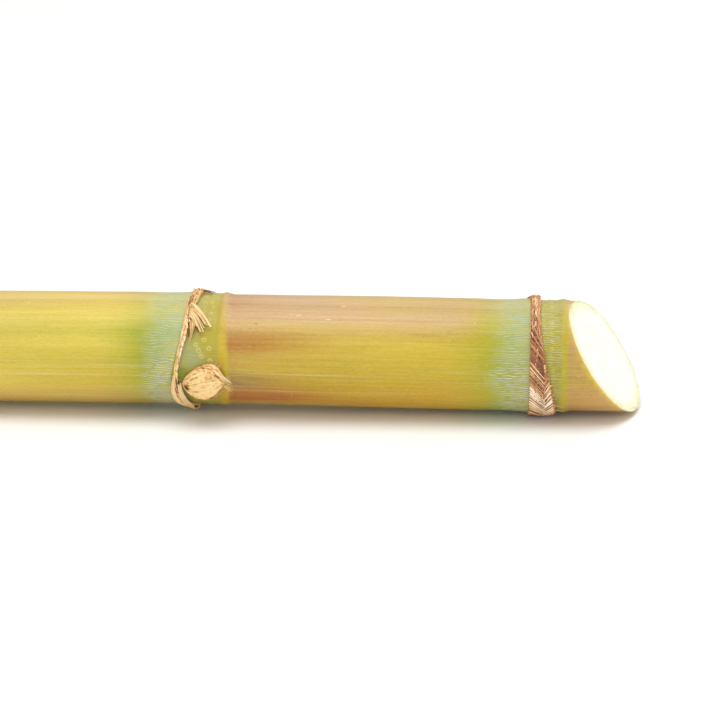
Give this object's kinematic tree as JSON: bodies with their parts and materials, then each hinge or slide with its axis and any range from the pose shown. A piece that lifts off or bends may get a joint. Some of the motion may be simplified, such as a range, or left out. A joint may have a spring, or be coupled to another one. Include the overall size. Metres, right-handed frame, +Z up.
{
  "type": "sugarcane stalk",
  "caption": "Cut length of sugarcane stalk lying on its side, with ringed nodes, torn leaf sheath stubs, scaly buds and slanted cut ends.",
  "frame": {"origin": "under the middle of the whole length, on the surface that the stalk lies on", "axes": "+X along the stalk towards its growing end, +Z up, -Y the side with the middle bud"},
  "size_m": [0.2764, 0.047, 0.0397],
  "materials": {
    "rind": "waxy, satin, yellow-green to mauve with a pale bloom below each node",
    "flesh": "moist fibrous cut face, cream white",
    "sheath_tan": "dry, fibrous, matt, straw tan",
    "sheath_brown": "dry, pleated, matt, reddish brown",
    "bud_scale": "dry, ribbed, matt, tan"
  },
  "bodies": {
    "root": {"cane": "rind", "leaf_sheath_stub_lower": "sheath_tan", "leaf_sheath_stub_middle": "sheath_tan", "leaf_sheath_stub_upper": "sheath_brown", "bud_lower": "bud_scale", "bud_middle": "bud_scale", "bud_upper": "bud_scale"}
  },
  "joints": []
}
